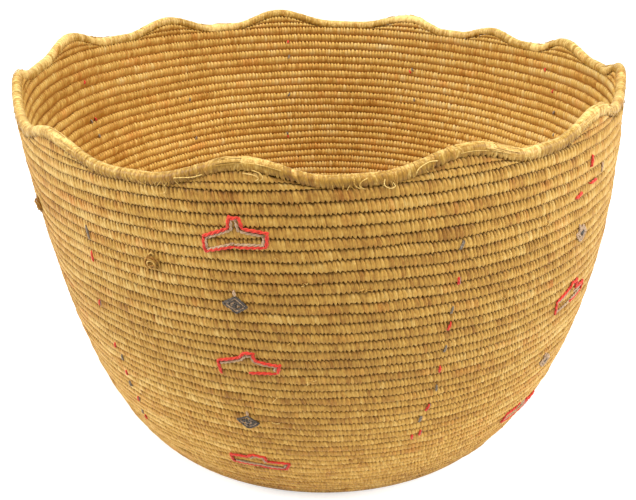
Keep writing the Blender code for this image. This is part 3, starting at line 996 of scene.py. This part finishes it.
# %% Sew the figures
figure_columns = scallop_angles[1::2]
for number, (angle, drop) in enumerate(zip(figure_columns, column_drops)):
    for level, row in enumerate(hat_rows):
        column = angle + column_lead + column_drift * row
        corners = np.array(hat_corners[level])
        seed = 10 * number + level
        if number:
            corners = corners + np.random.default_rng([17, seed]).normal(0, 0.7, corners.shape)
        name = f"hat_{number + 1}_{level + 1}"
        spot = (number, level)
        corners = corners + hat_shifts.get(spot, (0.0, 0.0))
        place, notch = row + drop, hat_notches[level]
        outline = drawn_in(corners, red_inset)
        gone, half_gone = worn_red.get(spot, ()), half_worn_red.get(spot, ())
        grids = sew_outline(seed, column, place, outline, red_ply, notch, gone, half_gone)
        make_piece(f"{name}_red", grids, red_wool, [name])
        outline = drawn_in(corners, tan_inset)
        grids = sew_outline(seed + 100, column, place, outline, tan_ply, notch, worn_tan.get(spot, ()))
        make_piece(f"{name}_tan", grids, tan_wool, [name])
    for level, row in enumerate(diamond_rows):
        column = angle + column_lead + column_drift * row + diamond_lead
        name = f"diamond_{number + 1}_{level + 1}"
        spot = (number, level)
        corners = np.array(diamond_corners) + diamond_shifts.get(spot, (0.0, 0.0))
        dark, pale = [], []
        for step, by in enumerate(ring_insets):
            seed = 1000 + 40 * number + 8 * level + step
            ply = thin_ring_ply if step in thin_rings else ring_ply
            stitches = sew_outline(seed, column, row + drop, drawn_in(corners, by), ply)
            (pale if step in pale_rings.get(spot, thin_rings) else dark).extend(stitches)
        runs, angles = place_figure(column, row + drop, [(0.2, 9.3), (0.6, 5.0)])
        pale += wall_stitch(1900 + 10 * number + level, runs, angles, tan_ply)
        make_piece(f"{name}_grey", dark, dark_wool, [name])
        make_piece(f"{name}_tan", pale, tan_wool, [name])
print("figures", len(figure_columns) * (len(hat_rows) + len(diamond_rows)))

# %% [markdown]
# ## Dashes and flecks
# Between the columns of figures run columns of single short stitches, red and grey in turn. Two of these
# columns face the camera, so each of their dashes has its own angle and row. The others are spaced evenly,
# with small seeded differences. Where yarn comes through the wall, short flecks of it show on the inside.

# %% Sew the dashes
# angle in degrees and row of each stitch down the two columns in view, and 1 for red or 0 for grey
dash_columns = {
    0: [
        (-130.75, 6.25, 0),
        (-131.25, 8.75, 1),
        (-133.5, 14.5, 1),
        (-133, 20, 1),
        (-132, 21.5, 0),
        (-132.5, 24, 1),
        (-133, 26, 0),
        (-132.25, 28.5, 1),
        (-133.5, 31.5, 0),
        (-133.25, 32.5, 1),
    ],
    2: [
        (-69, 5.75, 0),
        (-69.25, 9, 1),
        (-70, 11.75, 0),
        (-70.25, 13.5, 1),
        (-70.5, 16, 0),
        (-71, 18.5, 1),
        (-71, 21, 0),
        (-72, 23.75, 1),
        (-73, 25.5, 0),
        (-73.75, 28.5, 1),
        (-72.25, 28, 1),
    ],
}
# by column and dash, how many times its usual length
long_dashes = {(0, 0): 1.9, (0, 1): 1.6}
red_dash_ply, thin_dash_ply, fleck_ply = 0.00046, 0.00026, 0.00045
beside = 0.0009 / rim_radius
for number in range(0, len(scallop_angles), 2):
    random = np.random.default_rng([18, number])
    column = math.degrees(scallop_angles[number] + column_lead)
    rows = np.arange(6.0, 32.0, 2.6)
    guessed = []
    for step, row in enumerate(rows):
        guessed.append((column - 0.08 * row, row + random.uniform(-0.4, 0.4), step % 2))
    red_grids, grey_grids = [], []
    for step, (angle, row, red) in enumerate(dash_columns.get(number, guessed)):
        slope = random.normal(0.4, 0.5)
        reach = long_dashes.get((number, step), 1.0)
        runs, angles = place_figure(math.radians(angle), row, [(slope, 2.9 * reach), (-slope, -2.4 * reach)])
        seed = 3000 + 100 * number + 2 * step
        grids, ply = (red_grids, red_dash_ply) if red else (grey_grids, grey_ply)
        grids += wall_stitch(seed, runs, angles, ply)
        if random.random() < 0.4:
            grey_grids += wall_stitch(seed + 1, runs, angles + beside, thin_dash_ply)
    make_piece(f"dashes_{number // 2 + 1}_red", red_grids, red_wool)
    make_piece(f"dashes_{number // 2 + 1}_grey", grey_grids, grey_wool)

# %% Sew the flecks on the inside
# those in view first: angle in degrees, row, and 1 for red or 0 for grey
flecks = [
    (99, 1.9, 1),
    (99, 3.9, 0),
    (100, 9.3, 0),
    (101, 15.1, 0),
    (100.6, 15.6, 1),
    (65.5, 5.0, 0),
    (66.2, 5.3, 1),
    (65, 9.3, 0),
    (25, 1.8, 1),
    (21.5, 4.1, 1),
    (20.5, 6.5, 0),
    (19.5, 9.2, 0),
    (19, 10.2, 1),
]
random = np.random.default_rng(19)
for angle in np.degrees(scallop_angles):
    if not 0 < angle < 110:
        for row in random.uniform(2, 33, 6):
            flecks.append((angle + random.normal(-2, 0.8), row, random.integers(0, 2)))
red_grids, grey_grids = [], []
for step, (angle, row, red) in enumerate(flecks):
    ends = [(random.normal(0, 0.8), 1.6), (random.normal(0, 0.8), -1.6)]
    runs, angles = place_figure(math.radians(angle), row, ends)
    grids = red_grids if red else grey_grids
    grids += wall_stitch(5000 + step, runs, angles, fleck_ply, -1)
make_piece("flecks_red", red_grids, red_wool)
make_piece("flecks_grey", grey_grids, grey_wool)
print("dashes and flecks sewn,", len(flecks), "flecks")

# %% [markdown]
# ## Loose straws
# Old grass splits. Ends of blades stick out under the rim and between rows, a few long ones curl away, and
# here and there a knot of broken fibres stands out of the wall. They are thin tubes along smooth curves.
# Hair particles could do this too, but tubes are plain meshes that every program reads, and each curl of the
# photograph can have its own few points.

# %% One straw
def smooth_line(knots, count):
    """Points on a smooth curve through the knots."""
    knots = np.array(knots, dtype=float)
    padded = np.concatenate([[2 * knots[0] - knots[1]], knots, [2 * knots[-1] - knots[-2]]])
    places = np.linspace(0, len(knots) - 1, count)
    first = np.minimum(places.astype(int), len(knots) - 2)
    past = (places - first)[:, None]
    before, here, after, beyond = (padded[first + step] for step in range(4))
    return 0.5 * (
        2 * here
        + (after - before) * past
        + (2 * before - 5 * here + 4 * after - beyond) * past ** 2
        + (3 * here - before - 3 * after + beyond) * past ** 3
    )


def straw(knots, thickness, tone=0.5):
    """A straw through knots of angle in degrees, height over the wall's top in mm and stand-out in mm."""
    line = smooth_line(knots, 8 * len(knots))
    centres = on_wall(-line[:, 1] * mm, np.radians(line[:, 0]), line[:, 2] * mm)
    outward = unit(centres * (1, 1, 0)) + (0, 0, 0.35)
    return tube(centres, outward, thickness * 0.0005, 5, tone)


def rim_up(angle):
    """Height in mm of the rim coil's middle over the wall's top, at an angle in degrees."""
    return rim_middle(np.radians(np.array([angle])))[0] * 1000


# %% Frays under the rim and where it is worn
frays = []
random = np.random.default_rng(21)
fray_count = 170
for angle in random.uniform(-180, 180, fray_count):
    up = rim_up(angle)
    turned = random.normal(0, 0.55)
    drop = random.uniform(2.6, 4.6)
    frays.append(straw([
        (angle, up - 0.5, 2.6),
        (angle + turned * 0.5, up - 2.2, 3.1 + random.uniform(0, 0.5)),
        (angle + turned, up - drop, 3.2 + random.uniform(-0.2, 1.0)),
    ], random.uniform(0.25, 0.55), random.uniform(0.35, 0.70)))
for middle, half in np.degrees(worn_places):
    for angle in random.uniform(middle - half, middle + half, int(4 + 1.5 * half)):
        length = random.uniform(1.5, 5.0)
        lift = random.uniform(2.9, 3.5)
        round_coil = random.uniform(-0.3, 2.2)
        knots = []
        for share in (-1, -0.3, 0.4, 1):
            place = angle + share * length / 2
            away = lift + random.uniform(-0.3, 0.35) + 0.5 * max(0, share) * random.random()
            spot = (place, rim_up(place) + away * math.sin(round_coil), away * math.cos(round_coil))
            knots.append(spot)
        frays.append(straw(knots, random.uniform(0.3, 0.7), random.uniform(0.45, 0.80)))

# %% Curls that stand out in the photograph
# angle in degrees, height over the wall's top in mm and stand-out in mm of their knots
curls = [
    [(-84.7, 5.8, 3.2), (-84.9, 3.2, 3.9), (-84.5, 0.6, 4.1), (-83.3, -0.8, 3.7)],
    [(-83.0, 4.6, 3.2), (-83.9, 3.2, 4.1), (-84.1, 1.0, 4.2), (-83.4, -0.9, 3.6)],
    [(-112.2, 1.5, 3.2), (-111.9, -1.2, 3.7), (-112.3, -3.2, 3.6), (-112.9, -3.6, 3.9)],
    [(-98.9, 11.2, 3.0), (-97.7, 9.6, 3.9), (-97.3, 7.4, 4.1), (-97.7, 5.8, 3.7)],
    [(-100.2, 9.6, 3.3), (-98.6, 8.8, 3.8), (-97.9, 7.0, 4.0), (-98.4, 5.6, 3.6)],
    [(-106.0, 8.4, 3.3), (-107.5, 6.8, 3.8), (-109.2, 6.2, 3.8), (-110.6, 5.4, 3.3)],
    [(-80.6, 3.4, 3.2), (-80.7, 0.6, 3.9), (-79.9, -1.4, 3.9), (-79.2, -0.6, 3.9), (-79.5, 1.5, 3.4)],
    [(-73.0, 9.6, 3.2), (-74.4, 9.8, 3.8), (-75.8, 7.4, 4.1), (-76.2, 4.6, 3.7)],
    [(-38.0, 12.0, 3.0), (-35.6, 11.4, 4.0), (-34.2, 9.0, 4.1), (-33.8, 6.6, 3.5)],
    [(-3.0, 5.0, 3.2), (-2.0, 6.0, 4.4), (-1.2, 4.2, 4.8), (-1.4, 1.8, 4.2)],
]
for number, knots in enumerate(curls):
    frays.append(straw(knots, 0.55, 0.60 + 0.03 * number))
make_piece("rim_frays", frays, rim_grass)

# %% Broken blades and knots on the wall
# broken blades between the rows: angle in degrees, row, how many straws and how far they spread
tufts = [
    (-100.0, 25.0, 5, 0.8),
    (-60.0, 12.0, 6, 0.8),
    (-131.5, 6.4, 9, 1.0),
    (-84.0, 8.6, 6, 0.8),
    (-52.0, 6.0, 7, 0.9),
    (-122.0, 14.5, 6, 0.8),
    (-93.0, 18.5, 5, 0.7),
    (-37.0, 21.0, 6, 0.9),
]
small_tufts = 70
for angle, row in zip(random.uniform(-180, 180, small_tufts), random.uniform(1, courses - 2, small_tufts)):
    tufts.append((angle, row, random.integers(1, 4), 0.6))
broken = []
for angle, row, count, spread in tufts:
    run = row_run(row) * 1000
    for _ in range(count):
        begin = np.array([angle, -run, 2.6]) + random.normal(0, 1, 3) * (0.25 * spread, 0.9 * spread, 0.1)
        way = random.normal(0, 1, 3) * (0.4, 1.3, 0.0) * (0.6 + spread)
        rise = random.uniform(0.2, 0.9) * spread
        middle = begin + way * 0.5 + (0, 0, 0.4 + rise)
        end = begin + way + random.normal(0, 0.3, 3) * (0.3, 1, 0.5)
        end = end + (0, 0, 0.3 + rise * random.uniform(0.2, 1.1))
        broken.append(straw([begin, middle, end], random.uniform(0.25, 0.5), random.uniform(0.35, 0.9)))
# two knots of spare blade ends, each a heap of short arcs: angle in degrees, row, size in mm
arcs_per_knot = 34
degree_at_rim = 3.45
for angle, row, size in [(-152.6, 7.6, 5.6), (-117.0, 7.1, 4.8)]:
    run = row_run(row) * 1000
    for _ in range(arcs_per_knot):
        middle = np.array([angle, -run, 3.1]) + random.normal(0, 0.45, 3) * (0.1 * size, 0.4 * size, 0.6)
        begin = random.uniform(0, turn)
        wide = size * random.uniform(0.25, 0.85) / degree_at_rim
        tall = size * random.uniform(0.25, 0.85)
        swell = random.uniform(0.2, 0.9)
        knots = []
        for share in np.linspace(0, random.uniform(0.2, 0.8), 6):
            around = begin + turn * share
            out = 0.45 * size * swell * math.sin(math.pi * share)
            knots.append(middle + (math.cos(around) * wide, math.sin(around) * tall, out))
        broken.append(straw(knots, random.uniform(0.4, 1.0), random.uniform(-0.1, 0.7)))
make_piece("broken_straws", broken, wall_grass)
print("loose straws", len(frays) + len(broken))

# %% [markdown]
# ## The stage
# The floor is pale and the sky is white, and three large soft lamps stand left, right and over the front.
# The photograph's background has no tone at all, so rays from the camera find extra white on the floor and in
# the sky, and the object gets none of it. A brighter sky would give the same white, but its light would fill
# the gaps between the stitches and take the shape out of them.

# %% Floor and sky
def seen_directly(tree):
    """1 for rays from the camera, and for those that come by way of a shine or through something clear."""
    path = node(tree, "ShaderNodeLightPath").outputs
    shine = maths(tree, "MAXIMUM", path["Is Glossy Ray"], path["Is Transmission Ray"])
    return maths(tree, "MAXIMUM", path["Is Camera Ray"], shine)


floor_mesh = bpy.data.meshes.new("floor")
reach = 12.0
floor_corners = [(-reach, -reach, 0), (reach, -reach, 0), (reach, reach, 0), (-reach, reach, 0)]
floor_mesh.from_pydata(floor_corners, [], [(0, 1, 2, 3)])
floor = add_object("floor", floor_mesh)
floor.location.z = -0.0002
floor_paint, tree, shader = new_material("floor_paint")
tree.nodes.remove(shader)
seen = seen_directly(tree)
matt = node(tree, "ShaderNodeBsdfDiffuse", {"Color": (0.66, 0.66, 0.65, 1.0)})
glow = node(tree, "ShaderNodeEmission", {"Strength": maths(tree, "MULTIPLY", seen, 0.54)})
both = node(tree, "ShaderNodeAddShader", {0: matt.outputs[0], 1: glow.outputs[0]})
tree.links.new(both.outputs[0], tree.nodes["Material Output"].inputs["Surface"])
floor_mesh.materials.append(floor_paint)

sky_strength = 0.68
world = bpy.data.worlds.new("sky")
bpy.context.scene.world = world
world.use_nodes = True
tree = world.node_tree
seen = seen_directly(tree)
strength = maths(tree, "MULTIPLY_ADD", seen, 1.0 - sky_strength, sky_strength)
tree.links.new(strength, tree.nodes["Background"].inputs["Strength"])
tree.nodes["Background"].inputs["Color"].default_value = (1.0, 1.0, 1.0, 1.0)
print("sky at", sky_strength, "of the white that the camera sees")


# %% Lamps
def add_lamp(name, place, aim, size, power):
    """A round soft lamp at a place, turned to what it lights."""
    lamp = bpy.data.lights.new(name, "AREA")
    lamp.shape = "DISK"
    lamp.size = size
    lamp.energy = power
    stand = add_object(name, lamp)
    stand.location = place
    direction = stand.location - Vector(aim)
    stand.rotation_mode = "QUATERNION"
    stand.rotation_quaternion = direction.to_track_quat("Z", "Y")


add_lamp("lamp_left", (-1.55, -0.25, 0.95), (0, 0, 0.12), 0.8, 26.0)
add_lamp("lamp_right", (1.45, -0.4, 0.95), (0, 0, 0.12), 0.9, 29.5)
add_lamp("lamp_top", (-0.2, -0.5, 1.75), (0, 0, 0.1), 0.9, 23.0)

# %% [markdown]
# ## The camera
# The camera was fitted to the seams and the outline in the photograph. Its focal length and the picture's
# middle are in pixels of the photograph, and the lens is worked out from them.

# %% Camera
focal, photo_width, middle_x = 846.17, 636, 324.0
tilt = math.radians(25.673)
distance, aim_height = 0.6423255, 0.10553
sensor_width = 36.0
camera_data = bpy.data.cameras.new("camera")
camera_data.sensor_width = sensor_width
camera_data.lens = sensor_width * focal / photo_width
camera_data.shift_x = -(middle_x - photo_width / 2) / photo_width
camera = add_object("camera", camera_data)
camera.location = (0.0, -distance * math.cos(tilt), aim_height + distance * math.sin(tilt))
camera.rotation_euler = (math.pi / 2 - tilt, 0.0, 0.0)
bpy.context.scene.camera = camera
bpy.context.scene.view_settings.view_transform = "Standard"
print("lens", round(camera_data.lens, 2), "mm, camera", [round(x, 3) for x in camera.location])
